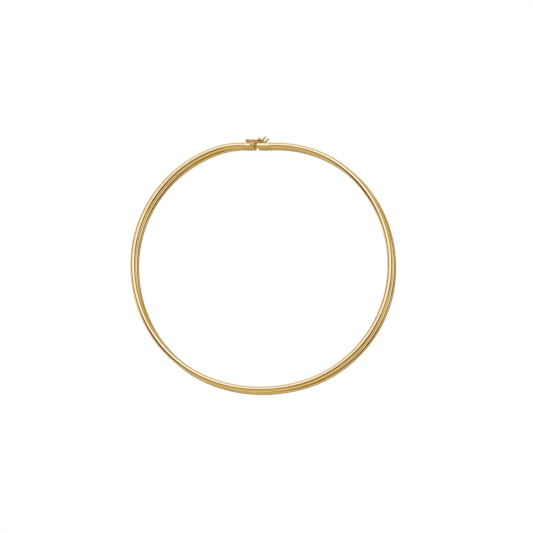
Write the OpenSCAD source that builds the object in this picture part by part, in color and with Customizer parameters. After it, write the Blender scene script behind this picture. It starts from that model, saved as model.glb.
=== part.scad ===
// Two-row gold collar choker: two hollow round tubes, one on the other, that meet in a box clasp.
// Lengths are in millimetres. +Z is up, the collar lies on z = 0 and the clasp is at +Y.
// The origin is the centre of the neck opening, on the surface that the collar lies on.

/* [Rows] */
// Outside diameter of each tube
row_d = 2.9; // [2.8:0.02:2.9]
// Wall of each tube
row_wall = 0.35; // [0.3:0.01:0.4]
// Height of the upper tube's axis over the lower tube's
row_rise = 3; // [3:0.05:3.2]
// How far the lower row lies to the right of the upper row
lean_x = 0.66; // [0:0.02:0.8]
// How far the lower row lies in front of the upper row
lean_y = 0.46; // [0.2:0.02:0.6]
// The same at the clasp, which stands more upright
clasp_lean_y = 0.16; // [0:0.02:0.2]

/* [Outline] */
// Distance of the clasp's axis from the centre of the opening
clasp_y = 62; // [58:0.5:66]
// Right end of the straight stretch that holds the clasp
straight_right = 2.6; // [2.2:0.1:3]
// Radius of the arc behind the wearer's right shoulder
right_back_r = 67; // [66.8:0.2:67.2]
// Radius of the arc at the right front
right_front_r = 57.2; // [57:0.2:57.4]
// Radius of the arc at the throat
throat_r = 74.6; // [74:0.2:75]
// Radius of the arc at the left front
left_front_r = 67.8; // [67.6:0.2:68]
// Radius of the arc on the left
left_back_r = 56.8; // [56.6:0.2:57]
// Radius of the short arc that comes up to the clasp
left_clasp_r = 37.5; // [37:0.5:38]

/* [Clasp] */
// Middle of the gap between the clasp's two halves
gap_x = -7.8; // [-8:0.05:-7.6]
// Width of that gap
gap = 1.6; // [1.5:0.05:1.7]
// Length of the half that holds the tongue
tongue_end_length = 5; // [4.9:0.05:5.1]
// Length of the box
box_length = 6.6; // [6.4:0.1:6.8]
// Rounding of the corners of both halves
corner = 1.1; // [0.9:0.05:1.2]
// Length of each peg inside a tube's end
peg_length = 1.6; // [1:0.1:1.8]
// Width of the tongue's strip
strip_width = 1.9; // [1.7:0.05:1.9]
// Thickness of the strip
strip = 0.35; // [0.3:0.01:0.36]
// Length of the thumb tab
tab_length = 2.4; // [2.2:0.1:2.6]
// Width of the thumb tab
tab_width = 2.1; // [1.9:0.1:2.3]
// Height of the thumb tab's top over the upper row's axis
tab_top = 3.1; // [2.6:0.1:3.2]

/* [Safety catches] */
// Distance of each hinge from the middle of the gap
hinge_back = 4.9; // [4.7:0.05:5]
// Distance of each ball stud from the middle of the gap
stud_ahead = 1.45; // [1.3:0.05:1.6]
// Distance of the catches' plane from the rows' axes
catch_out = 2.65; // [2.5:0.05:2.8]
// Distance of each ball from the catches' plane
ball_out = 0.8; // [0.7:0.05:1]
// Diameter of the ball
ball_d = 1.2; // [1:0.05:1.2]
// Diameter of the catches' wire
wire_d = 0.6; // [0.5:0.05:0.6]
// Diameter of the ring that goes over the ball, at the wire's middle
ring_d = 2.1; // [2.05:0.05:2.2]
// Height of the loop at the hinge, at the wire's middle
loop_height = 2; // [1.95:0.05:2.1]

/* [Hidden] */
$fn = 64;

GOLD = [0.86, 0.70, 0.40];
PALE_GOLD = [0.90, 0.78, 0.52];

// Play of a peg in a tube, of the strip in its slot and of a hinge bar in its knuckle
fit = 0.04;
// Gap between the clasp's halves and the tubes' ends
seat = 0.05;
// How far a soldered-on piece reaches into the one that carries it
sink = 0.2;
// How far a cut starts outside the face that it opens
open_end = 1;
// Sides of a whole ring of tube
ring_sides = 180;

// Places of the two rows: shift of the outline along X and Y, height of the axis,
// and how much nearer to the outside the straight stretch is than in the outline
LIFT = 3;
LOWER = [lean_x / 2, -lean_y / 2, row_d / 2, lean_y - clasp_lean_y];
UPPER = [-lean_x / 2, lean_y / 2, row_d / 2 + row_rise, 0];
function shift(place) = [place[0], place[1], place[2]];

// The outline is a ring of seven arcs and a straight stretch, run clockwise from the clasp's right.
// Each joint between two of them has a direction with exact decimals, so that the ends meet exactly.
// Columns of the table: direction in which the arc ends, and its radius
END = 0;
RADIUS = 1;
middle_arcs = [
  [[0, -1], right_back_r],
  [[-0.96, -0.28], right_front_r],
  [[-0.96, 0.28], throat_r],
  [[0, 1], left_front_r],
  [[0.936, 0.352], left_back_r]
];
clasp_direction = [1, 0];
first_end = [0.8, -0.6];
last_start = middle_arcs[len(middle_arcs) - 1][END];

// The side on which an arc's centre lies
function right_of(direction) = [direction[1], -direction[0]];
function total(steps, count) = count == 0 ? [0, 0] : total(steps, count - 1) + steps[count - 1];

// Steps from each arc's start to its end, for arcs in which each starts as the one before it ends
function starts(arcs, from) = concat([from], [for (arc = arcs) arc[END]]);
function steps(arcs, from) = [
  for (i = [0 : len(arcs) - 1])
    arcs[i][RADIUS] * (right_of(starts(arcs, from)[i]) - right_of(arcs[i][END]))
];

// How far a first arc falls, and a last arc rises, for each millimetre of its radius
first_fall = clasp_direction[0] - first_end[0];
last_rise = clasp_direction[0] - last_start[0];

// The first radius brings the outline back to the clasp's axis, and the straight stretch closes it.
// A lift of the straight stretch makes the arcs on both sides of it a little wider.
later_arcs = concat(middle_arcs, [[clasp_direction, left_clasp_r]]);
first_r = total(steps(later_arcs, first_end), len(later_arcs))[1] / first_fall;
function outline(lift) = concat(
  [[first_end, first_r + lift / first_fall]],
  middle_arcs,
  [[clasp_direction, left_clasp_r + lift / last_rise]]
);
function right_end(lift) = straight_right + lift * first_end[1] / first_fall;
function left_end(lift) =
  right_end(lift) + total(steps(outline(lift), clasp_direction), len(outline(lift)))[0];
function arc_centre(i, lift) =
  [right_end(lift), clasp_y + lift]
  + total(steps(outline(lift), clasp_direction), i)
  + outline(lift)[i][RADIUS] * right_of(starts(outline(lift), clasp_direction)[i]);

// Distance of a row's axis from the centre of the opening, at the clasp
function axis_y(place) = clasp_y + place[1] + place[LIFT];

// Places along the clasp
tongue_face = gap_x - gap / 2;
tongue_back = tongue_face - tongue_end_length;
box_face = gap_x + gap / 2;
box_back = box_face + box_length;

// Sizes inside the box, from the upper row's axis
mouth_low = -0.95;
mouth_top = 0.55;
cavity_top = 1.05;
lip = 0.4;
cavity_length = 4.65;
cavity_width = strip_width + 0.2;
floor_play = 0.1;

// The tongue's folded strip, from the middle of the gap and the upper row's axis
root_depth = 1.3;
fold_x = 4.3;
fold_inner_r = 0.2;
leaf_low = mouth_low + floor_play;
fold_z = leaf_low + strip + fold_inner_r;
leaf_slope = 11;
shoulder_x = gap / 2 + lip + 0.1;
neck_low = 0.1;
riser_x = -0.35;
tab_thickness = 0.6;
tab_out = 0.25;
tab_corner = 0.35;

// The catches' wire: where the arms bend in, as a share of the way to the ball, half the width of
// the waist, the two steps of the tail, and the balls at the elbows and the tip against the wire
elbow_share = 0.45;
waist = wire_d / 2;
tail_steps = [[0.8, 0.25, 0], [1.1, 1.4, 0]];
elbow_swell = 1.05;
tail_swell = 1.2;
tip_swell = 1.4;

module row_section() {
  difference() {
    circle(d = row_d);
    circle(d = row_d - 2 * row_wall);
  }
}

module straight_tube(from_x, to_x, y) {
  translate([from_x, y, 0])
    rotate([90, 0, 90])
      linear_extrude(to_x - from_x)
        row_section();
}

// A full ring of tube, cut to the slice between the arc's two end planes
module arc_tube(i, lift) {
  arc = outline(lift)[i];
  reach = 2 * clasp_y;
  start_side = -reach * right_of(starts(outline(lift), clasp_direction)[i]);
  end_side = -reach * right_of(arc[END]);
  translate(concat(arc_centre(i, lift), [0]))
    intersection() {
      rotate_extrude($fn = ring_sides)
        translate([arc[RADIUS], 0])
          row_section();
      linear_extrude(2 * row_d, center = true)
        polygon([[0, 0], end_side, end_side + start_side, start_side]);
    }
}

// One tube, from the back of the box, clockwise, to the back of the tongue's half
module row(place) {
  lift = place[LIFT];
  translate(shift(place)) {
    straight_tube(box_back + seat - place[0], right_end(lift), clasp_y + lift);
    for (i = [0 : len(outline(lift)) - 1])
      arc_tube(i, lift);
    straight_tube(left_end(lift), tongue_back - seat - place[0], clasp_y + lift);
  }
}

module rounded_square(width, height, r) {
  square([width - 2 * r, height], center = true);
  square([width, height - 2 * r], center = true);
  for (x = [-1, 1], y = [-1, 1])
    translate([x * (width / 2 - r), y * (height / 2 - r)])
      circle(r = r);
}

// Both lobes of a clasp half, with the solder between them, from from_x to to_x
module clasp_block(from_x, to_x) {
  solder_width = 1.6;
  solder_reach = 0.4;
  translate([from_x, 0, 0])
    rotate([90, 0, 90])
      linear_extrude(to_x - from_x) {
        for (place = [LOWER, UPPER])
          translate([axis_y(place), place[2]])
            rounded_square(row_d, row_d, corner);
        translate([clasp_y - solder_width / 2, row_d - solder_reach])
          square([solder_width, row_rise - row_d + 2 * solder_reach]);
      }
}

// Peg that fills a tube's end, from from_x towards side
module peg(place, from_x, side) {
  translate([from_x - side * sink, axis_y(place), place[2]])
    rotate([0, side * 90, 0])
      cylinder(h = peg_length + sink, r = row_d / 2 - row_wall - fit);
}

// Where the hinge and the ball of the catch at place are
function hinge_at(place) = [gap_x - hinge_back + place[0] - UPPER[0], axis_y(place) + catch_out, place[2]];
function stud_at(place) = [gap_x + stud_ahead + place[0] - UPPER[0], axis_y(place), place[2]];

module knuckle(place) {
  knuckle_d = 1.3;
  end_play = 0.1;
  knuckle_height = loop_height - wire_d - 2 * end_play;
  web = 0.9;
  bore_r = wire_d / 2 + fit;
  at = hinge_at(place);
  difference() {
    union() {
      translate([at[0], at[1], at[2] - knuckle_height / 2])
        cylinder(h = knuckle_height, d = knuckle_d);
      translate([at[0] - web / 2, axis_y(place) + row_d / 2 - sink, at[2] - knuckle_height / 2])
        cube([web, catch_out - row_d / 2 + sink, knuckle_height]);
    }
    translate([at[0], at[1], at[2] - knuckle_height])
      cylinder(h = 2 * knuckle_height, r = bore_r);
  }
}

module ball_stud(place) {
  at = stud_at(place);
  translate([at[0], at[1] + row_d / 2 - sink, at[2]])
    rotate([-90, 0, 0])
      cylinder(h = catch_out + ball_out - row_d / 2 + sink, d = wire_d);
  translate([at[0], at[1] + catch_out + ball_out, at[2]])
    sphere(d = ball_d);
}

module tongue_end() {
  color(GOLD) {
    difference() {
      clasp_block(tongue_back, tongue_face);
      translate([
        tongue_face - root_depth - fit,
        axis_y(UPPER) - strip_width / 2 - fit,
        UPPER[2] + leaf_low - fit
      ])
        cube([root_depth + open_end, strip_width + 2 * fit, strip + 2 * fit]);
    }
    for (place = [LOWER, UPPER]) {
      peg(place, tongue_back, -1);
      knuckle(place);
    }
  }
}

module box() {
  color(GOLD) {
    difference() {
      clasp_block(box_face, box_back);
      translate([box_face - open_end, axis_y(UPPER) - cavity_width / 2, UPPER[2] + mouth_low])
        cube([open_end + lip + sink, cavity_width, mouth_top - mouth_low]);
      translate([box_face + lip, axis_y(UPPER) - cavity_width / 2, UPPER[2] + mouth_low])
        cube([cavity_length - lip, cavity_width, cavity_top - mouth_low]);
    }
    for (place = [LOWER, UPPER]) {
      peg(place, box_back, 1);
      ball_stud(place);
    }
  }
}

// The folded strip seen from the side: lower leaf, fold, sprung upper leaf, shoulder, neck and thumb tab
module tongue_profile() {
  lower_start = -gap / 2 - root_depth;
  upper_leaf = (fold_x - shoulder_x) / cos(leaf_slope);
  shoulder_height = fold_z + fold_inner_r + strip / 2 + (fold_x - shoulder_x) * tan(leaf_slope) - neck_low;
  translate([lower_start, leaf_low])
    square([fold_x - lower_start, strip]);
  intersection() {
    translate([fold_x, fold_z])
      difference() {
        circle(r = fold_inner_r + strip);
        circle(r = fold_inner_r);
      }
    translate([fold_x, leaf_low])
      square(2 * (fold_inner_r + strip));
  }
  translate([fold_x, fold_z + fold_inner_r])
    rotate(180 - leaf_slope)
      translate([0, -strip])
        square([upper_leaf, strip]);
  translate([shoulder_x, neck_low])
    square([strip, shoulder_height]);
  translate([riser_x, neck_low])
    square([shoulder_x - riser_x + strip / 2, strip]);
  translate([riser_x, neck_low])
    square([strip, tab_top - neck_low]);
}

module spring_tongue() {
  color(PALE_GOLD)
    translate([gap_x, axis_y(UPPER), UPPER[2]]) {
      rotate([90, 0, 0])
        linear_extrude(strip_width, center = true)
          tongue_profile();
      translate([riser_x + strip - tab_length / 2, tab_out, tab_top - tab_thickness])
        linear_extrude(tab_thickness)
          rounded_square(tab_length, tab_width, tab_corner);
    }
}

// Round wire from p to q with a rounded start
module wire(p, q, r) {
  step = q - p;
  translate(p)
    rotate([0, acos(step[2] / norm(step)), atan2(step[1], step[0])])
      cylinder(h = norm(step), r = r);
  translate(p)
    sphere(r = r * elbow_swell);
}

// Figure-eight catch from its hinge bar at the origin to its tail, lying in the XZ plane
module safety() {
  r = wire_d / 2;
  ring_x = hinge_back + stud_ahead;
  half = loop_height / 2;
  elbow_x = ring_x * elbow_share;
  waist_x = ring_x - sqrt(ring_d * ring_d / 4 - waist * waist);
  tail_start = [ring_x + ring_d / 2, 0, 0];
  tail_bend = tail_start + tail_steps[0];
  tail_tip = tail_bend + tail_steps[1];
  for (side = [-1, 1]) {
    wire([0, 0, side * half], [elbow_x, 0, side * half], r);
    wire([elbow_x, 0, side * half], [waist_x, 0, side * waist], r);
  }
  translate([0, 0, -half])
    cylinder(h = loop_height, r = r);
  translate([ring_x, 0, 0])
    rotate([90, 0, 0])
      rotate_extrude()
        translate([ring_d / 2, 0])
          circle(r = r, $fn = 32);
  wire(tail_start, tail_bend, r);
  wire(tail_bend, tail_tip, r * tail_swell);
  translate(tail_tip)
    sphere(r = r * tip_swell);
}

module safety_at(place) {
  color(PALE_GOLD)
    translate(hinge_at(place))
      safety();
}

module upper_row() {
  color(GOLD)
    row(UPPER);
}

module lower_row() {
  color(GOLD)
    row(LOWER);
}

upper_row();
lower_row();
tongue_end();
box();
spring_tongue();
safety_at(UPPER);  // upper_safety
safety_at(LOWER);  // lower_safety
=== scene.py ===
"""A two-row gold collar choker: its visible pieces and their finish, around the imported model.

Every piece is built in millimetres in the model's frame, and scaled to metres as its mesh is made.
The upper and lower row are tubes with a fine seam about every two millimetres, the clasp's two halves
are lofted blocks with soft edges, and the safety catches are bent wires. Sizes and places are named in
millimetres and angles in degrees, unless a comment says otherwise.
"""

import math

import bmesh
import bpy
import numpy as np
from mathutils import Matrix, Vector
from mathutils.geometry import tessellate_polygon


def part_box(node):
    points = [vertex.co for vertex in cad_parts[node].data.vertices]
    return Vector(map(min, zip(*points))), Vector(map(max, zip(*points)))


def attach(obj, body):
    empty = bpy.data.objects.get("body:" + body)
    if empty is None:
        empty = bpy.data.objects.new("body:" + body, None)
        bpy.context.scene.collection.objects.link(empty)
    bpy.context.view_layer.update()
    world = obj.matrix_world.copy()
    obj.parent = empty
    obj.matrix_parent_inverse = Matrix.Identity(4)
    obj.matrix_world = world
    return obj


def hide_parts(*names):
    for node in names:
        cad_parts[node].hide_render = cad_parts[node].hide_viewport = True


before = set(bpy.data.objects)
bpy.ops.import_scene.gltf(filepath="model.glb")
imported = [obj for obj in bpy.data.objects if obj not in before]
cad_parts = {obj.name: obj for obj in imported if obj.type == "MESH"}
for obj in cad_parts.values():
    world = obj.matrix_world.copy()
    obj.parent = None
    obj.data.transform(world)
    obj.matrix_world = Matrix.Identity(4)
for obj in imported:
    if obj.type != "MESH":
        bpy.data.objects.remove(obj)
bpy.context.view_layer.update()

MM = 0.001

# Rows: the tubes' size, the height between them and how the lower one lies beside the upper one
ROW_D = 2.9
ROW_WALL = 0.35
ROW_RISE = 3.0
LEAN_X = 0.66
LEAN_Y = 0.46
CLASP_LEAN_Y = 0.16

# Outline: seven arcs and a straight stretch, run clockwise from the clasp's right.
# Each arc of the table gives the direction in which it ends and its radius.
CLASP_Y = 62.0
STRAIGHT_RIGHT = 2.6
CLASP_DIRECTION = (1.0, 0.0)
FIRST_END = (0.8, -0.6)
MIDDLE_ARCS = [
    ((0.0, -1.0), 67.0),
    ((-0.96, -0.28), 57.2),
    ((-0.96, 0.28), 74.6),
    ((0.0, 1.0), 67.8),
    ((0.936, 0.352), 56.8),
]
LAST_RADIUS = 37.5

# Play of a peg, the strip and a hinge bar, the gap at the tubes' ends, and how far solder reaches in
FIT = 0.04
SEAT = 0.05
SINK = 0.2

# Clasp: the gap between its halves, the halves with their pegs, and the tongue's strip and tab
GAP_X = -7.8
GAP = 1.6
TONGUE_END_LENGTH = 5.0
BOX_LENGTH = 6.6
CORNER = 1.1
CORNER_POINTS = 10
SOLDER_HALF_WIDTH = 0.8
CLASP_EDGE = 0.14
PEG_LENGTH = 1.6
PEG_EDGE = 0.2
PEG_SIDES = 32
STRIP_WIDTH = 1.9
STRIP = 0.35
TAB_LENGTH = 2.4
TAB_WIDTH = 2.1
TAB_TOP = 3.1

# The box's hollow and the folded strip, from the upper row's axis and the middle of the gap
MOUTH_LOW = -0.95
MOUTH_TOP = 0.55
CAVITY_TOP = 1.05
CAVITY_LENGTH = 4.65
CAVITY_PLAY = 0.1
LIP = 0.4
MOUTH_CORNER = 0.12
MOUTH_EDGE = 0.05
SLOT_CORNER = 0.05
ROOT_DEPTH = 1.3
FLOOR_PLAY = 0.1
LEAF_LOW = MOUTH_LOW + FLOOR_PLAY
FOLD_X = 4.3
FOLD_INNER_R = 0.2
FOLD_SHARE = 0.95
LEAF_SLOPE = 11.0
LIP_PLAY = 0.1
SHOULDER_X = GAP / 2 + LIP + LIP_PLAY
NECK_LOW = 0.1
RISER_X = -0.35
STRIP_EDGE = 0.06
TAB_THICKNESS = 0.6
TAB_OUT = 0.25
TAB_CORNER = 0.35
TAB_CORNER_POINTS = 6
TAB_EDGE = 0.16

# Safety catches: hinges and studs from the middle of the gap, the catches' plane from the rows' axes
HINGE_BACK = 4.9
STUD_AHEAD = 1.45
CATCH_OUT = 2.65
WIRE_D = 0.6
WIRE_SIDES = 16

# Knuckles and ball studs. BALL_OUT is the ball's distance from the catches' plane, and BALL_TIP is the
# radius of the flat tip that closes a ball, here and on the catches' tails.
KNUCKLE_D = 1.3
KNUCKLE_PLAY = 0.1
KNUCKLE_EDGE = 0.08
KNUCKLE_SIDES = 32
WEB = 0.9
WEB_CORNER = 0.15
BALL_OUT = 0.8
BALL_D = 1.32
BALL_SIDES = 32
BALL_RINGS = 14
BALL_TIP = 0.004
SOLDER_FLARE = 0.16

# The catches' loop and ring, and the tail's two steps from the ring's end. A swell is how much thicker
# than the solid's wire a stretch is, and the tail ends in a ball.
LOOP_HEIGHT = 2.0
ELBOW_SHARE = 0.45
BAR_BEND = 0.32
ELBOW_BEND = 1.6
RING_D = 2.1
RING_POINTS = 17
LOOP_SWELL = 1.12
TAIL_STEPS = [(0.8, 0.25, 0.0), (1.1, 1.4, 0.0)]
TAIL_BEND = 0.4
TAIL_SWELL = (1.25, 1.4)
TIP_SWELL = 1.4
TIP_START = 55.0
TIP_RINGS = 7

# Seams of the rows: their pitch, and the profile of one pitch as places along it and depths
SEAM_PITCH = 1.85
SEAM_PROFILE = [
    (0.0, 0.004),
    (0.05, 0.0022),
    (0.12, 0.0003),
    (0.25, 0.0),
    (0.925, 0.0),
    (1.6, 0.0),
    (1.73, 0.0003),
    (1.8, 0.0022),
]
ROW_SIDES = 40

# Meshes: how near two points are to be joined, the bend from which an edge is sharp, the steps of a
# softened edge and of a bend, the points on a small corner, and the corners of a row's faces
JOIN_PLAY = 0.0005
SHARP_DEG = 40.0
EDGE_STEPS = 4
BEND_STEPS = 6
SMALL_CORNER_POINTS = 4
QUAD = 4

# How far a piece may reach past the box of the node that it stands for, or fall short of it
PLACE_PLAY = 0.12

# Sockets of the mix node for colours: its factor and two colours, and its result
MIX_INPUTS = (0, 6, 7)
MIX_RESULT = 2

# Polish: the noise of its clouds, the noise values between which tone and roughness change, and the
# share of the roughness at each end
CLOUDS = {"Scale": 420.0, "Detail": 3.0}
TONE_CHANGE = (0.3, 0.75)
ROUGH_CHANGE = (0.25, 0.8)
ROUGH_SHARES = (0.8, 1.3)
# Hairline scratches: their noise, and the strength and the depth in metres of their bump
SCRATCHES = {"Scale": 9000.0, "Detail": 2.0}
SCRATCH_STRENGTH = 0.05
SCRATCH_DEPTH = 0.00002
# Seams: the shares of a pitch between which their tone fades, how much of it there is, and the tone
SEAM_FADE = (0.01, 0.05)
SEAM_STRENGTH = 0.1
SEAM_TONE = (0.42, 0.24, 0.08)

# Camera: the width of the photograph's frame, the lens, and the tilt and turn from looking straight
# down. The camera's distance and clips are in metres.
FRAME_WIDTH = 261.17
SENSOR_WIDTH = 36.0
CAMERA_DISTANCE = 10.0
CLIP_START = 0.1
CLIP_END = 4 * CAMERA_DISTANCE
TILT_DEG = 22.0
TILT_TOWARDS_DEG = -42.8
TURN_DEG = 2.1512
AIM_FROM = (-0.40, 1.36, 4.45)
AIM_OFFSET = (2.45, -0.48)

# Studio. Each light has a colour as its value in red and the shares of green and blue.
# Tent: value at the middle, its gain along X, Y and Z, and shares
TENT = (2.0, (-1.5, -4.0, -0.5), (0.9, 0.6))
# Round screens and gaps from the furthest back to the nearest: azimuth, elevation, radius and softness
# in degrees, value at the horizon, its gain towards the zenith, and shares
SCREENS = {
    "back_screen": (90.0, 65.0, 22.0, 22.0, 4.0, 0.0, (1.2, 1.7)),
    "right_screen": (45.0, 5.0, 40.0, 20.0, 0.0, 1.0, (0.75, 0.3)),
    "right_gap": (-35.0, 30.0, 30.0, 2.0, 0.0, 0.0, (1.0, 1.0)),
    "left_screen": (120.0, -20.0, 50.0, 2.0, 0.5, 0.0, (1.0, 0.3)),
    "left_gap": (150.0, 65.0, 6.0, 2.0, 1.5, 0.0, (1.0, 0.3)),
    "gap_round_fill": (233.0, 39.0, 53.0, 5.0, 0.15, 0.0, (0.55, 0.3)),
    "front_fill": (235.0, 20.0, 30.0, 8.0, 0.0, 1.5, (0.9, 0.6)),
    "top_light": (-80.0, 87.0, 18.0, 2.0, 1.3, 0.0, (1.2, 2.4)),
    "north_low": (112.0, 53.0, 10.0, 2.0, 1.0, 0.0, (1.25, 2.2)),
    "zenith_left": (210.0, 78.0, 14.0, 2.0, 0.4, 0.0, (0.75, 0.3)),
    "south_low": (-70.0, -5.0, 30.0, 2.0, 0.8, 0.0, (0.95, 0.5)),
    "west_band": (160.0, 30.0, 23.0, 2.0, 0.4, 0.0, (0.7, 0.3)),
}
# Key softbox: azimuth, elevation, half width and half height in degrees, softness of its edge as a
# slope, value, and shares
KEY = (75.0, 87.0, 8.0, 36.0, 0.15, 0.7, (0.9, 0.9))
# The cosine to the softbox's middle at which it shows in full, and the least one that is divided by
KEY_FRONT = 0.1
LEAST_COSINE = 0.01
# The darkest and the brightest that the lights show
DARKEST = (0.09, 0.035, 0.01)
BRIGHTEST = (1.25, 1.5, 3.0)
# The camera sees the table and what lies behind it in plain white. To the metal the table shows painted
# shadow and painted light instead, each tone at a distance in millimetres from the middle of the two
# rows:
# a warm painted shade and a dark painted shadow close to the rows, a painted bright ring from 9 to 14
# mm, and a warm painted glow from 18 mm out.
WHITE = (1.0, 1.0, 1.0)
TABLE_PAINTED_SHADE_AND_LIGHT = [
    (4.0, (0.35, 0.28, 0.14)),
    (7.0, (0.07, 0.04, 0.015)),
    (9.0, (1.1, 1.15, 1.1)),
    (14.0, (1.0, 1.05, 1.0)),
    (18.0, (1.2, 0.95, 0.55)),
]
# Reach of the table's map of distances, reach of the table itself, and its points round the outline
TABLE_REACH = 20.0
TABLE_EDGE = 15000.0
TABLE_STATIONS = 360


class Place:
    """Where a row lies: the shift of the outline, the height of its axis, and its lift at the clasp."""

    def __init__(self, x, y, z, lift):
        self.shift = np.array([x, y])
        self.z = z
        self.lift = lift

    @property
    def axis_y(self):
        return CLASP_Y + self.shift[1] + self.lift


LOWER = Place(LEAN_X / 2, -LEAN_Y / 2, ROW_D / 2, LEAN_Y - CLASP_LEAN_Y)
UPPER = Place(-LEAN_X / 2, LEAN_Y / 2, ROW_D / 2 + ROW_RISE, 0.0)
MIDDLE = Place(0.0, 0.0, 0.0, 0.0)

TONGUE_FACE = GAP_X - GAP / 2
TONGUE_BACK = TONGUE_FACE - TONGUE_END_LENGTH
BOX_FACE = GAP_X + GAP / 2
BOX_BACK = BOX_FACE + BOX_LENGTH


# Meshes


def make_object(name, vertices, faces, material):
    """A smooth mesh object in metres from vertices in millimetres."""
    mesh = bpy.data.meshes.new(name)
    mesh.from_pydata([tuple(c * MM for c in v) for v in vertices], [], faces)
    mesh.materials.append(material)
    mesh.polygons.foreach_set("use_smooth", [True] * len(mesh.polygons))
    mesh.update()
    obj = bpy.data.objects.new(name, mesh)
    bpy.context.scene.collection.objects.link(obj)
    return obj


class Shells:
    """Vertices and faces of one piece, gathered shell by shell."""

    def __init__(self):
        self.vertices = []
        self.faces = []

    def add(self, vertices, faces):
        first = len(self.vertices)
        self.vertices.extend(tuple(float(c) for c in v) for v in vertices)
        self.faces.extend(tuple(i + first for i in face) for face in faces)

    def make(self, name, material):
        """One object of all the shells, with their shared edges joined and flat faces kept flat."""
        obj = make_object(name, self.vertices, self.faces, material)
        work = bmesh.new()
        work.from_mesh(obj.data)
        bmesh.ops.remove_doubles(work, verts=work.verts, dist=JOIN_PLAY * MM)
        bmesh.ops.recalc_face_normals(work, faces=work.faces)
        work.to_mesh(obj.data)
        work.free()
        obj.data.set_sharp_from_angle(angle=math.radians(SHARP_DEG))
        weighted = obj.modifiers.new("flat_faces", "WEIGHTED_NORMAL")
        weighted.keep_sharp = True
        return obj


def ring_faces(count, sides):
    """Quads between each ring of vertices and the next."""
    faces = []
    for i in range(count - 1):
        for j in range(sides):
            k = (j + 1) % sides
            faces.append((i * sides + j, i * sides + k, (i + 1) * sides + k, (i + 1) * sides + j))
    return faces


def loft(rings, capped=True):
    """Vertices and faces through closed rings of equal count, with a flat cap at both ends or none."""
    sides = len(rings[0])
    vertices = [v for ring in rings for v in ring]
    faces = ring_faces(len(rings), sides)
    if capped:
        last = (len(rings) - 1) * sides
        faces.append(tuple(range(sides))[::-1])
        faces.append(tuple(range(last, last + sides)))
    return vertices, faces


def lathe(profile, sides, start, axis):
    """A turned shell: profile holds (distance along the axis, radius) pairs from tip to tip."""
    axis = Vector(axis).normalized()
    side = axis.orthogonal().normalized()
    other = axis.cross(side)
    start = Vector(start)
    rings = []
    for along, radius in profile:
        centre = start + axis * along
        ring = []
        for j in range(sides):
            angle = 2 * math.pi * j / sides
            ring.append(centre + radius * (math.cos(angle) * side + math.sin(angle) * other))
        rings.append(ring)
    return loft(rings)


def flat_face(loops):
    """Triangles of a flat face bounded by its first loop, with the other loops as holes."""
    loops = [[Vector(p) for p in loop] for loop in loops]
    return [p for loop in loops for p in loop], tessellate_polygon(loops)


def arc_points(centre, radius, from_deg, to_deg, count):
    """Points on an arc, both ends included."""
    angles = np.radians(np.linspace(from_deg, to_deg, count))
    return [(centre[0] + radius * math.cos(a), centre[1] + radius * math.sin(a)) for a in angles]


# The outline of a row


def right_of(direction):
    return np.array([direction[1], -direction[0]])


def arcs_of(lift):
    """The outline's arcs for a row whose straight stretch lies lift further out."""
    later = MIDDLE_ARCS + [(CLASP_DIRECTION, LAST_RADIUS)]
    total = np.zeros(2)
    start = FIRST_END
    for end, radius in later:
        total += radius * (right_of(start) - right_of(end))
        start = end
    first_fall = CLASP_DIRECTION[0] - FIRST_END[0]
    last_rise = CLASP_DIRECTION[0] - MIDDLE_ARCS[-1][0][0]
    first = (FIRST_END, (total[1] + lift) / first_fall)
    last = (CLASP_DIRECTION, LAST_RADIUS + lift / last_rise)
    straight_end = STRAIGHT_RIGHT + lift * FIRST_END[1] / first_fall
    return straight_end, [first] + MIDDLE_ARCS + [last]


def stretches(place):
    """The row's straight and round stretches as functions of the length along each."""

    def straight(from_x, to_x):
        y = place.axis_y

        def at(s):
            return np.array([from_x + s, y]), np.array(CLASP_DIRECTION)

        return to_x - from_x, at

    def arc(centre, radius, outward, sweep):
        start_angle = math.atan2(outward[1], outward[0])

        def at(s):
            angle = start_angle - s / radius
            out = np.array([math.cos(angle), math.sin(angle)])
            return centre + radius * out, right_of(out)

        return radius * sweep, at

    straight_end, arcs = arcs_of(place.lift)
    from_x = BOX_BACK + SEAT
    parts = [straight(from_x, straight_end + place.shift[0])]
    point = np.array([straight_end, CLASP_Y + place.lift]) + place.shift
    direction = np.array(CLASP_DIRECTION)
    for end, radius in arcs:
        end = np.array(end)
        centre = point + radius * right_of(direction)
        cosine = float(np.clip(direction @ end, -1, 1))
        parts.append(arc(centre, radius, -right_of(direction), math.acos(cosine)))
        point = centre - radius * right_of(end)
        direction = end
    parts.append(straight(point[0], TONGUE_BACK - SEAT))
    return parts


def along(parts, lengths):
    """Points and directions of the row's axis at each of the lengths."""
    ends = np.cumsum([length for length, _ in parts])
    points, directions = [], []
    for s in lengths:
        i = min(int(np.searchsorted(ends, s)), len(parts) - 1)
        before = ends[i] - parts[i][0]
        point, direction = parts[i][1](s - before)
        points.append(point)
        directions.append(direction)
    return np.array(points), np.array(directions)


def tube_rings(points, directions, z, radii, sides):
    """Rings round the axis, turned so that the first vertex lies furthest from the opening."""
    angles = 2 * math.pi * np.arange(sides) / sides
    outward = np.stack([-directions[:, 1], directions[:, 0]], axis=1)
    rings = np.zeros((len(points), sides, 3))
    across = radii[:, None] * np.cos(angles)[None, :]
    rings[:, :, 0] = points[:, None, 0] + across * outward[:, None, 0]
    rings[:, :, 1] = points[:, None, 1] + across * outward[:, None, 1]
    rings[:, :, 2] = z + radii[:, None] * np.sin(angles)[None, :]
    return rings


def seam_stations(length):
    """Lengths along the row and how deep its surface lies there, with whole pitches between the ends."""
    count = round(length / SEAM_PITCH)
    stretch = length / (count * SEAM_PITCH)
    lengths, depths = [], []
    for i in range(count):
        for place, depth in SEAM_PROFILE:
            lengths.append((i * SEAM_PITCH + place) * stretch)
            depths.append(depth)
    lengths.append(length)
    depths.append(SEAM_PROFILE[0][1])
    return np.array(lengths), np.array(depths), count


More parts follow.
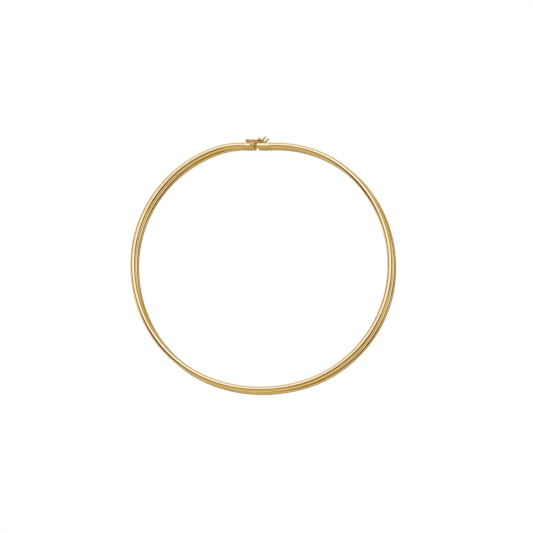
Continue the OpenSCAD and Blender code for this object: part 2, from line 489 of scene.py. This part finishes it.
def row_tube(name, place, material):
    """One seamed tube with its bore, open at both ends."""
    parts = stretches(place)
    length = sum(part[0] for part in parts)
    lengths, depths, count = seam_stations(length)
    points, directions = along(parts, lengths)
    outer = tube_rings(points, directions, place.z, ROW_D / 2 - depths, ROW_SIDES)
    bore_lengths = np.linspace(length, 0, count + 1)
    points, directions = along(parts, bore_lengths)
    bore_radii = np.full(len(points), ROW_D / 2 - ROW_WALL)
    bore = tube_rings(points, directions, place.z, bore_radii, ROW_SIDES)
    rings = np.concatenate([outer, bore])
    vertices = rings.reshape(-1, 3)
    faces = ring_faces(len(rings), ROW_SIDES)
    last = (len(rings) - 1) * ROW_SIDES
    for j in range(ROW_SIDES):
        k = (j + 1) % ROW_SIDES
        faces.append((last + j, last + k, k, j))
    obj = make_object(name, vertices, faces, material)
    add_strip_map(obj, lengths, count, length)
    return obj


def add_strip_map(obj, lengths, count, length):
    """A UV map whose U counts the pitches along the row and whose V goes once round the tube."""
    layer = obj.data.uv_layers.new(name="strip")
    u_of_ring = np.concatenate([lengths / length * count, np.linspace(count, 0, count + 1)])
    loops = np.zeros(len(obj.data.loops), int)
    obj.data.loops.foreach_get("vertex_index", loops)
    ring = loops // ROW_SIDES
    side = loops % ROW_SIDES
    of_face = side.reshape(-1, QUAD)
    first_side = np.repeat(of_face.min(axis=1), QUAD)
    last_side = np.repeat(of_face.max(axis=1), QUAD)
    wraps = (first_side == 0) & (last_side == ROW_SIDES - 1)
    v = side / ROW_SIDES + np.where(wraps & (side == 0), 1.0, 0.0)
    layer.data.foreach_set("uv", np.stack([u_of_ring[ring], v], axis=1).ravel())


# The clasp


def block_section():
    """Both lobes and the solder between them as one closed outline in the YZ plane."""
    half = ROW_D / 2
    flat = half - CORNER

    def cut(offset):
        return math.degrees(math.asin((SOLDER_HALF_WIDTH + offset - flat) / CORNER))

    low_y, low_z = LOWER.axis_y, LOWER.z
    up_y, up_z = UPPER.axis_y, UPPER.z
    corners = [
        (low_y + flat, low_z - flat, -90, 0),
        (low_y + flat, low_z + flat, 0, 90 - cut(CLASP_Y - low_y)),
        (up_y + flat, up_z - flat, -90 + cut(CLASP_Y - up_y), 0),
        (up_y + flat, up_z + flat, 0, 90),
        (up_y - flat, up_z + flat, 90, 180),
        (up_y - flat, up_z - flat, 180, 270 - cut(up_y - CLASP_Y)),
        (low_y - flat, low_z + flat, 90 + cut(low_y - CLASP_Y), 180),
        (low_y - flat, low_z - flat, 180, 270),
    ]
    points = []
    for y, z, from_deg, to_deg in corners:
        points += arc_points((y, z), CORNER, from_deg, to_deg, CORNER_POINTS)
    return points


def inset(outline, depth):
    """A counterclockwise outline moved inward by depth."""
    points = np.array(outline)
    before = points - np.roll(points, 1, axis=0)
    after = np.roll(points, -1, axis=0) - points
    before /= np.linalg.norm(before, axis=1, keepdims=True)
    after /= np.linalg.norm(after, axis=1, keepdims=True)
    turned = before + after
    normals = np.stack([-turned[:, 1], turned[:, 0]], axis=1)
    normals /= np.linalg.norm(normals, axis=1, keepdims=True)
    return [tuple(p) for p in points + depth * normals]


def rounding(radius):
    """(distance from the face, inset) pairs of a rounded edge, from the face to the side."""
    pairs = []
    for i in range(EDGE_STEPS + 1):
        angle = math.pi / 2 * i / EDGE_STEPS
        pairs.append((radius * (1 - math.cos(angle)), radius * (1 - math.sin(angle))))
    return pairs


def soft_block(outline, low, high, edge):
    """Rings of (outline, height) for a block between two faces, with rounded edges."""
    rings = [(inset(outline, depth), low + rise) for rise, depth in rounding(edge)]
    rings += [(inset(outline, depth), high - rise) for rise, depth in rounding(edge)[::-1]]
    return rings


def rounded_rectangle(x, y, width, height, corner, count=SMALL_CORNER_POINTS):
    """A counterclockwise rounded rectangle about (x, y)."""
    points = []
    for k, (side_x, side_y) in enumerate([(1, -1), (1, 1), (-1, 1), (-1, -1)]):
        centre = (x + side_x * (width / 2 - corner), y + side_y * (height / 2 - corner))
        points += arc_points(centre, corner, -90 + 90 * k, 90 * k, count)
    return points


def along_x(outline, x):
    return [(x, y, z) for y, z in outline]


def hollow_block(shells, from_x, to_x, face_x, hollow):
    """A clasp half from from_x to to_x, with a hollow that opens in the face at face_x.

    hollow is a list of (outline, depth from the face) pairs, from the mouth inward.
    """
    section = block_section()
    rings = [along_x(outline, x) for outline, x in soft_block(section, from_x, to_x, CLASP_EDGE)]
    inward = 1 if face_x == from_x else -1
    inner = [along_x(outline, face_x + inward * depth) for outline, depth in hollow]
    face = 0 if face_x == from_x else -1
    shells.add(*loft(rings, capped=False))
    shells.add(*flat_face([rings[-1 - face]]))
    shells.add(*flat_face([rings[face], inner[0]]))
    shells.add(*loft(inner, capped=False))
    shells.add(*flat_face([inner[-1]]))


def peg_profile(length):
    """A plain peg with a rounded tip."""
    radius = ROW_D / 2 - ROW_WALL - FIT
    tip = [(length - rise, radius - depth) for rise, depth in rounding(PEG_EDGE)[::-1]]
    return [(0, radius)] + tip


def hinge_at(place):
    """The middle of a row's hinge."""
    x = GAP_X - HINGE_BACK + place.shift[0] - UPPER.shift[0]
    return Vector((x, place.axis_y + CATCH_OUT, place.z))


def stud_at(place):
    """The foot of a row's ball stud, on the back of its lobe."""
    x = GAP_X + STUD_AHEAD + place.shift[0] - UPPER.shift[0]
    return Vector((x, place.axis_y + ROW_D / 2, place.z))


def knuckle(shells, place):
    """The hinge tube of a catch, on a short web soldered to its lobe."""
    at = hinge_at(place)
    height = LOOP_HEIGHT - WIRE_D - 2 * KNUCKLE_PLAY
    outer = KNUCKLE_D / 2
    bore = WIRE_D / 2 + FIT
    wall = (outer - bore) / 2
    profile = rounded_rectangle(bore + wall, 0, 2 * wall, height, KNUCKLE_EDGE)
    rings = []
    for radius, rise in profile:
        ring = arc_points((at.x, at.y), radius, 0, 360, KNUCKLE_SIDES + 1)[:-1]
        rings.append([(x, y, at.z + rise) for x, y in ring])
    shells.add(*loft(rings + rings[:1], capped=False))
    from_y = place.axis_y + ROW_D / 2 - SINK
    to_y = at.y - bore - wall / 2
    outline = rounded_rectangle(at.x, (from_y + to_y) / 2, WEB, to_y - from_y, WEB_CORNER)
    half = height / 2
    rings = soft_block(outline, at.z - half, at.z + half, KNUCKLE_EDGE)
    shells.add(*loft([[(x, y, z) for x, y in ring] for ring, z in rings]))


def ball_stud(shells, place):
    """A ball on a post that flares into its solder."""
    radius = BALL_D / 2
    post = WIRE_D / 2
    centre = SINK + CATCH_OUT + BALL_OUT - ROW_D / 2
    profile = [(0, post + SOLDER_FLARE), (SINK, post + SOLDER_FLARE)]
    for rise, depth in rounding(SOLDER_FLARE)[1:]:
        profile.append((SINK + SOLDER_FLARE - depth, post + SOLDER_FLARE - rise))
    start = math.asin(post / radius)
    for i in range(BALL_RINGS + 1):
        angle = start + (math.pi - start) * i / BALL_RINGS
        out = max(radius * math.sin(angle), BALL_TIP)
        profile.append((centre - radius * math.cos(angle), out))
    shells.add(*lathe(profile, BALL_SIDES, stud_at(place) - Vector((0, SINK, 0)), (0, 1, 0)))


def tongue_end_piece(material):
    shells = Shells()
    low = UPPER.z + LEAF_LOW - FIT
    slot = rounded_rectangle(
        UPPER.axis_y, low + STRIP / 2 + FIT, STRIP_WIDTH + 2 * FIT, STRIP + 2 * FIT, SLOT_CORNER
    )
    hollow = [(slot, 0), (slot, ROOT_DEPTH + FIT)]
    hollow_block(shells, TONGUE_BACK, TONGUE_FACE, TONGUE_FACE, hollow)
    for place in (UPPER, LOWER):
        start = (TONGUE_BACK + SINK, place.axis_y, place.z)
        shells.add(*lathe(peg_profile(PEG_LENGTH + SINK), PEG_SIDES, start, (-1, 0, 0)))
        knuckle(shells, place)
    return shells.make("tongue_end_body", material)


def box_piece(material):
    shells = Shells()
    width = STRIP_WIDTH + 2 * CAVITY_PLAY
    mouth_mid = UPPER.z + (MOUTH_LOW + MOUTH_TOP) / 2
    cavity_mid = UPPER.z + (MOUTH_LOW + CAVITY_TOP) / 2
    mouth = rounded_rectangle(
        UPPER.axis_y, mouth_mid, width, MOUTH_TOP - MOUTH_LOW, MOUTH_CORNER
    )
    cavity = rounded_rectangle(
        UPPER.axis_y, cavity_mid, width, CAVITY_TOP - MOUTH_LOW, MOUTH_CORNER
    )
    edge = [(inset(mouth, depth - MOUTH_EDGE), rise) for rise, depth in rounding(MOUTH_EDGE)[::-1]]
    edge = [(outline, MOUTH_EDGE - rise) for outline, rise in edge]
    hollow = edge + [(mouth, LIP), (cavity, LIP), (cavity, CAVITY_LENGTH)]
    hollow_block(shells, BOX_FACE, BOX_BACK, BOX_FACE, hollow)
    for place in (UPPER, LOWER):
        start = (BOX_BACK - SINK, place.axis_y, place.z)
        shells.add(*lathe(peg_profile(PEG_LENGTH + SINK), PEG_SIDES, start, (1, 0, 0)))
        ball_stud(shells, place)
    return shells.make("box_body", material)


def filleted(corners):
    """Points of a path through corners, each (point, bend radius), with its bends rounded."""
    points = []
    for i, (point, radius) in enumerate(corners):
        at = Vector(point)
        if i in (0, len(corners) - 1):
            points.append(at)
            continue
        back = (Vector(corners[i - 1][0]) - at).normalized()
        on = (Vector(corners[i + 1][0]) - at).normalized()
        half = back.angle(on) / 2
        reach = radius / math.tan(half)
        centre = at + (back + on).normalized() * (radius / math.sin(half))
        from_centre = at + back * reach - centre
        to_centre = at + on * reach - centre
        for k in range(BEND_STEPS + 1):
            points.append(centre + radius * from_centre.slerp(to_centre, k / BEND_STEPS))
    return points


def sweep(points, radii, sides, closed=False):
    """A round wire along a path that nowhere runs straight along Y."""
    count = len(points)
    rings = []
    for i, point in enumerate(points):
        before = points[i - 1] if closed or i else points[0]
        after = points[(i + 1) % count] if closed or i < count - 1 else points[-1]
        direction = (after - before).normalized()
        across = direction.cross(Vector((0, 1, 0))).normalized()
        up = across.cross(direction)
        radius = radii[i]
        ring = []
        for j in range(sides):
            angle = 2 * math.pi * j / sides
            ring.append(point + radius * (math.cos(angle) * across + math.sin(angle) * up))
        rings.append(ring)
    if closed:
        return loft(rings + rings[:1], capped=False)
    return loft(rings)


def spring_tongue_piece(material):
    """The folded strip, up through the gap to its thumb tab."""
    middle = STRIP / 2
    leaf = LEAF_LOW + middle
    bend = FOLD_INNER_R + middle
    slope = math.tan(math.radians(LEAF_SLOPE))
    lower_start = -GAP / 2 - ROOT_DEPTH
    shoulder_top = leaf + 2 * bend + (FOLD_X - SHOULDER_X - middle) * slope
    neck = NECK_LOW + middle
    riser = RISER_X + middle
    path = [
        ((lower_start, leaf), 0),
        ((FOLD_X + bend, leaf), bend * FOLD_SHARE),
        ((FOLD_X + bend, leaf + 2 * bend), bend * FOLD_SHARE),
        ((SHOULDER_X + middle, shoulder_top), middle),
        ((SHOULDER_X + middle, neck), middle),
        ((riser, neck), middle),
        ((riser, TAB_TOP - TAB_THICKNESS / 2), 0),
    ]
    line = filleted([((x, 0, z), radius) for (x, z), radius in path])
    section = rounded_rectangle(0, 0, STRIP_WIDTH, STRIP, STRIP_EDGE)
    shells = Shells()
    rings = []
    for i, point in enumerate(line):
        direction = (line[min(i + 1, len(line) - 1)] - line[max(i - 1, 0)]).normalized()
        across = Vector((-direction.z, 0, direction.x))
        rings.append([point + Vector((0, y, 0)) + across * t for y, t in section])
    origin = Vector((GAP_X, UPPER.axis_y, UPPER.z))
    shells.add(*loft([[origin + p for p in ring] for ring in rings]))
    centre_x = RISER_X + STRIP - TAB_LENGTH / 2
    outline = rounded_rectangle(
        centre_x, TAB_OUT, TAB_LENGTH, TAB_WIDTH, TAB_CORNER, TAB_CORNER_POINTS
    )
    tab = soft_block(outline, TAB_TOP - TAB_THICKNESS, TAB_TOP, TAB_EDGE)
    shells.add(*loft([[origin + Vector((x, y, z)) for x, y in ring] for ring, z in tab]))
    return shells.make("tongue_strip", material)


def safety_piece(name, place, material):
    """A figure-eight catch: one closed wire from the hinge bar round the ring, and a tail."""
    origin = hinge_at(place)
    radius = WIRE_D / 2
    ring_x = HINGE_BACK + STUD_AHEAD
    ring_r = RING_D / 2
    half = LOOP_HEIGHT / 2
    elbow_x = ring_x * ELBOW_SHARE
    waist = radius
    opening = math.degrees(math.asin(waist / ring_r))
    waist_x = ring_x - ring_r * math.cos(math.radians(opening))
    arm = filleted(
        [
            ((0, 0, 0), 0),
            ((0, 0, half), BAR_BEND),
            ((elbow_x, 0, half), ELBOW_BEND),
            ((waist_x, 0, waist), 0),
        ]
    )
    ring = [
        Vector((x, 0, z))
        for x, z in arc_points((ring_x, 0), ring_r, 180 - opening, 0, RING_POINTS)
    ]
    upper_half = arm + ring[1:]
    lower_half = [Vector((p.x, 0, -p.z)) for p in upper_half[1:-1]][::-1]
    loop = upper_half + lower_half
    loop_radii = [radius * (1 if p.x < elbow_x / 2 else LOOP_SWELL) for p in loop]
    shells = Shells()
    shells.add(*sweep([origin + p for p in loop], loop_radii, WIRE_SIDES, closed=True))
    start = Vector((ring_x + ring_r, 0, 0))
    bend = start + Vector(TAIL_STEPS[0])
    tip = bend + Vector(TAIL_STEPS[1])
    tail = filleted([(start, 0), (bend, TAIL_BEND), (tip, 0)])
    swell = np.linspace(*TAIL_SWELL, len(tail))
    tail_radii = [radius * float(s) for s in swell]
    ball = radius * TIP_SWELL
    direction = (tail[-1] - tail[-2]).normalized()
    for i in range(TIP_RINGS + 1):
        angle = math.radians(TIP_START + (180 - TIP_START) * i / TIP_RINGS)
        tail.append(tip - direction * ball * math.cos(angle))
        tail_radii.append(max(ball * math.sin(angle), BALL_TIP))
    shells.add(*sweep([origin + p for p in tail], tail_radii, WIRE_SIDES))
    return shells.make(name, material)


# Materials


class Nodes:
    """A node tree that is filled by short calls."""

    def __init__(self, tree):
        self.tree = tree
        tree.nodes.clear()

    def new(self, kind, inputs=(), **settings):
        node = self.tree.nodes.new(kind)
        for key, value in settings.items():
            setattr(node, key, value)
        for key, value in dict(inputs).items():
            if isinstance(value, bpy.types.NodeSocket):
                self.tree.links.new(value, node.inputs[key])
            else:
                node.inputs[key].default_value = value
        return node

    def math(self, operation, *values):
        return self.new("ShaderNodeMath", enumerate(values), operation=operation).outputs[0]

    def dot(self, a, b):
        node = self.new("ShaderNodeVectorMath", enumerate((a, b)), operation="DOT_PRODUCT")
        return node.outputs["Value"]

    def smooth_range(self, value, low, high, out_low=0.0, out_high=1.0):
        inputs = {
            "Value": value,
            "From Min": low,
            "From Max": high,
            "To Min": out_low,
            "To Max": out_high,
        }
        node = self.new("ShaderNodeMapRange", inputs, interpolation_type="SMOOTHSTEP")
        return node.outputs["Result"]

    def mix(self, factor, a, b, blend="MIX"):
        inputs = zip(MIX_INPUTS, (factor, a, b))
        node = self.new("ShaderNodeMix", inputs, data_type="RGBA", blend_type=blend)
        return node.outputs[MIX_RESULT]


def rgba(red, green, blue):
    return (red, green, blue, 1.0)


def new_material(name):
    material = bpy.data.materials.new(name)
    material.use_nodes = True
    return material, Nodes(material.node_tree)


def gold(name, colour, deep, roughness, seamed=False, fittings=None):
    """Polished gold: soft cloudy polish, hairline scratches and, on the rows, darker seams.

    fittings is the roughness of the parts that stand out behind the clasp, which are left satin.
    """
    material, nodes = new_material(name)
    place = nodes.new("ShaderNodeTexCoord").outputs["Object"]
    cloud = nodes.new("ShaderNodeTexNoise", {"Vector": place, **CLOUDS}).outputs["Fac"]
    scratch = nodes.new("ShaderNodeTexNoise", {"Vector": place, **SCRATCHES}).outputs["Fac"]
    tone = nodes.mix(nodes.smooth_range(cloud, *TONE_CHANGE), colour, deep)
    if seamed:
        strip = nodes.new("ShaderNodeUVMap", uv_map="strip").outputs["UV"]
        u = nodes.new("ShaderNodeSeparateXYZ", {"Vector": strip}).outputs["X"]
        near = nodes.math("PINGPONG", u, 0.5)
        seam = nodes.smooth_range(near, *SEAM_FADE, 1.0, 0.0)
        tone = nodes.mix(nodes.math("MULTIPLY", seam, SEAM_STRENGTH), tone, rgba(*SEAM_TONE))
    smoothest, roughest = (roughness * share for share in ROUGH_SHARES)
    rough = nodes.smooth_range(cloud, *ROUGH_CHANGE, smoothest, roughest)
    if fittings:
        y = nodes.new("ShaderNodeSeparateXYZ", {"Vector": place}).outputs["Y"]
        back = UPPER.axis_y + ROW_D / 2
        behind = nodes.smooth_range(y, back * MM, (back + SINK) * MM)
        more = nodes.math("MULTIPLY", behind, fittings - roughness)
        rough = nodes.math("ADD", rough, more)
    bump = nodes.new(
        "ShaderNodeBump",
        {"Strength": SCRATCH_STRENGTH, "Distance": SCRATCH_DEPTH, "Height": scratch},
    ).outputs["Normal"]
    shader = nodes.new(
        "ShaderNodeBsdfPrincipled",
        {"Base Color": tone, "Metallic": 1.0, "Roughness": rough, "Normal": bump},
    )
    nodes.new("ShaderNodeOutputMaterial", {"Surface": shader.outputs[0]})
    return material


# The studio


def direction(azimuth_deg, elevation_deg):
    """A direction in the model's frame, with azimuth counterclockwise from +X."""
    a, e = math.radians(azimuth_deg), math.radians(elevation_deg)
    return Vector((math.cos(a) * math.cos(e), math.sin(a) * math.cos(e), math.sin(e)))


def tinted(nodes, value, shares):
    """A colour from its value in red and the shares of green and blue."""
    parts = {"Red": value}
    for channel, share in zip(("Green", "Blue"), shares):
        parts[channel] = nodes.math("MULTIPLY", value, share)
    return nodes.new("ShaderNodeCombineColor", parts).outputs["Color"]


def make_studio_light():
    """A tent with soft screens and a key softbox: what the polished metal mirrors."""
    world = bpy.data.worlds.new("studio")
    bpy.context.scene.world = world
    world.use_nodes = True
    nodes = Nodes(world.node_tree)
    look = nodes.new("ShaderNodeTexCoord").outputs["Generated"]
    height = nodes.new("ShaderNodeSeparateXYZ", {"Vector": look}).outputs["Z"]
    middle_value, gain, shares = TENT
    value = nodes.math("ADD", nodes.dot(look, gain), middle_value)
    tent = tinted(nodes, nodes.math("MAXIMUM", value, 0.0), shares)
    for azimuth, elevation, radius, soft, value, rise, shares in SCREENS.values():
        outer, inner = (math.cos(math.radians(radius + side * soft)) for side in (1, -1))
        near = nodes.dot(look, direction(azimuth, elevation))
        mask = nodes.smooth_range(near, outer, inner)
        value = nodes.math("MULTIPLY_ADD", height, rise, value)
        tent = nodes.mix(mask, tent, tinted(nodes, nodes.math("MAXIMUM", value, 0.0), shares))
    azimuth, elevation, half_width, half_height, soft, value, shares = KEY
    middle = direction(azimuth, elevation)
    across = Vector((0, 0, 1)).cross(middle).normalized()
    up = middle.cross(across)
    depth = nodes.dot(look, middle)
    mask = nodes.smooth_range(depth, 0.0, KEY_FRONT)
    for axis, half in ((across, half_width), (up, half_height)):
        offset = nodes.math("ABSOLUTE", nodes.dot(look, axis))
        slope = nodes.math("DIVIDE", offset, nodes.math("MAXIMUM", depth, LEAST_COSINE))
        edge = math.tan(math.radians(half))
        inside = nodes.smooth_range(slope, edge - soft, edge + soft, 1.0, 0.0)
        mask = nodes.math("MULTIPLY", mask, inside)
    tent = nodes.mix(mask, tent, tinted(nodes, value, shares))
    tent = nodes.mix(1.0, tent, rgba(*DARKEST), "LIGHTEN")
    tent = nodes.mix(1.0, tent, rgba(*BRIGHTEST), "DARKEN")
    camera_ray = nodes.new("ShaderNodeLightPath").outputs["Is Camera Ray"]
    seen = nodes.mix(camera_ray, tent, rgba(*WHITE))
    background = nodes.new("ShaderNodeBackground", {"Color": seen, "Strength": 1.0})
    nodes.new("ShaderNodeOutputWorld", {"Surface": background.outputs[0]})


def table_material():
    """Plain white to the camera, and painted shadow and painted light to the metal over it."""
    material, nodes = new_material("white_table_with_painted_shade")
    beside = nodes.new("ShaderNodeUVMap", uv_map="beside").outputs["UV"]
    distance = nodes.new("ShaderNodeSeparateXYZ", {"Vector": beside}).outputs["X"]
    ramp = nodes.new("ShaderNodeValToRGB", {"Fac": distance})
    elements = ramp.color_ramp.elements
    given = len(elements)
    # The ramp holds the painted shadow and painted light that the metal mirrors beside the rows.
    for i, (place, tone) in enumerate(TABLE_PAINTED_SHADE_AND_LIGHT):
        element = elements[i] if i < given else elements.new(1.0)
        element.position = place / TABLE_REACH
        element.color = rgba(*tone)
    camera_ray = nodes.new("ShaderNodeLightPath").outputs["Is Camera Ray"]
    seen = nodes.mix(camera_ray, ramp.outputs["Color"], rgba(*WHITE))
    shader = nodes.new("ShaderNodeEmission", {"Color": seen, "Strength": 1.0})
    nodes.new("ShaderNodeOutputMaterial", {"Surface": shader.outputs[0]})
    return material


def make_floor():
    """A flat table of rings along the rows' outline, with a map of the distance from it that places its
    painted shadow and painted light.
    """
    parts = stretches(MIDDLE)
    length = sum(part[0] for part in parts)
    points, directions = along(parts, np.linspace(0, length, TABLE_STATIONS))
    outward = np.stack([-directions[:, 1], directions[:, 0]], axis=1)
    offsets = (-TABLE_REACH, 0.0, TABLE_REACH, TABLE_EDGE)
    vertices = [(x, y, 0) for offset in offsets for x, y in points + offset * outward]
    middle = tuple(range(TABLE_STATIONS))[::-1]
    faces = ring_faces(len(offsets), TABLE_STATIONS) + [middle]
    floor = make_object("floor", vertices, faces, table_material())
    layer = floor.data.uv_layers.new(name="beside")
    loops = np.zeros(len(floor.data.loops), int)
    floor.data.loops.foreach_get("vertex_index", loops)
    distance = np.abs(np.array(offsets))[loops // TABLE_STATIONS]
    share = np.minimum(distance / TABLE_REACH, 1.0)
    layer.data.foreach_set("uv", np.stack([share, np.zeros(len(share))], axis=1).ravel())


def make_camera():
    """A long lens at the photograph's angle: tilted from straight down, and turned a little."""
    towards = math.radians(TILT_TOWARDS_DEG)
    axis = Vector((-math.sin(towards), math.cos(towards), 0))
    tilt = Matrix.Rotation(math.radians(TILT_DEG), 3, axis)
    turn = Matrix.Rotation(math.radians(TURN_DEG), 3, "Z")
    pose = turn @ tilt
    aim = Vector(AIM_FROM) + pose @ Vector((*AIM_OFFSET, 0))
    data = bpy.data.cameras.new("camera")
    data.sensor_width = SENSOR_WIDTH
    data.lens = SENSOR_WIDTH * CAMERA_DISTANCE / (FRAME_WIDTH * MM)
    data.clip_start = CLIP_START
    data.clip_end = CLIP_END
    camera = bpy.data.objects.new("camera", data)
    camera.matrix_world = pose.to_4x4()
    camera.location = aim * MM + pose @ Vector((0, 0, CAMERA_DISTANCE))
    bpy.context.scene.collection.objects.link(camera)
    bpy.context.scene.camera = camera


def set_colours():
    """Plain display colours, so that the white table stays white."""
    scene = bpy.context.scene
    scene.view_settings.view_transform = "Standard"
    scene.view_settings.look = "None"
    scene.view_settings.exposure = 0.0
    scene.view_settings.gamma = 1.0


def wear(piece, node, body):
    """The piece stands for the CAD node and moves with the body."""
    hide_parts(node)
    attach(piece, body)


def check_place(piece, node):
    """Stops the script if a piece has left the place of the node that it stands for."""
    low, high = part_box(node)
    points = np.array([v.co for v in piece.data.vertices])
    gaps = np.abs(np.concatenate([points.min(axis=0) - low, points.max(axis=0) - high]))
    if gaps.max() > PLACE_PLAY * MM:
        raise ValueError(f"{piece.name} lies {gaps.max() / MM:.3f} mm off {node}")


ROW_GOLD = gold("row_gold", rgba(0.94, 0.71, 0.33), rgba(0.91, 0.68, 0.3), 0.08, seamed=True)
# The clasp's gold is a little darker than the rows' gold: painted shade that dims the highlight on the
# clasp's flatter faces.
CLASP_GOLD_PAINTED_SHADE = gold("clasp_gold", rgba(0.86, 0.66, 0.32), rgba(0.84, 0.63, 0.29), 0.1, fittings=0.4)
# The tongue's deeper gold is painted shade: it darkens the strip and its tab as the shade in the clasp's
# gap would.
TONGUE_GOLD_PAINTED_SHADE = gold("tongue_gold", rgba(0.88, 0.58, 0.17), rgba(0.84, 0.53, 0.15), 0.5)
# The catches' deeper gold is painted shade: it stands in for the shade and gold inter-reflections
# between the wires, knuckles and rows.
WIRE_GOLD_PAINTED_SHADE = gold("wire_gold", rgba(0.86, 0.58, 0.19), rgba(0.82, 0.53, 0.16), 0.25)

PIECES = [
    (row_tube("upper_row_tube", UPPER, ROW_GOLD), "upper_row", "collar", "row_gold"),
    (row_tube("lower_row_tube", LOWER, ROW_GOLD), "lower_row", "collar", "row_gold"),
    (tongue_end_piece(CLASP_GOLD_PAINTED_SHADE), "tongue_end", "collar", "clasp_gold"),
    (box_piece(CLASP_GOLD_PAINTED_SHADE), "box", "collar", "clasp_gold"),
    (spring_tongue_piece(TONGUE_GOLD_PAINTED_SHADE), "spring_tongue", "collar", "tongue_gold"),
    (safety_piece("upper_safety_wire", UPPER, WIRE_GOLD_PAINTED_SHADE), "upper_safety", "upper_catch", "wire_gold"),
    (safety_piece("lower_safety_wire", LOWER, WIRE_GOLD_PAINTED_SHADE), "lower_safety", "lower_catch", "wire_gold"),
]
for piece, node, body, slot in PIECES:
    check_place(piece, node)
    wear(piece, node, body)

make_floor()
make_studio_light()
make_camera()
set_colours()
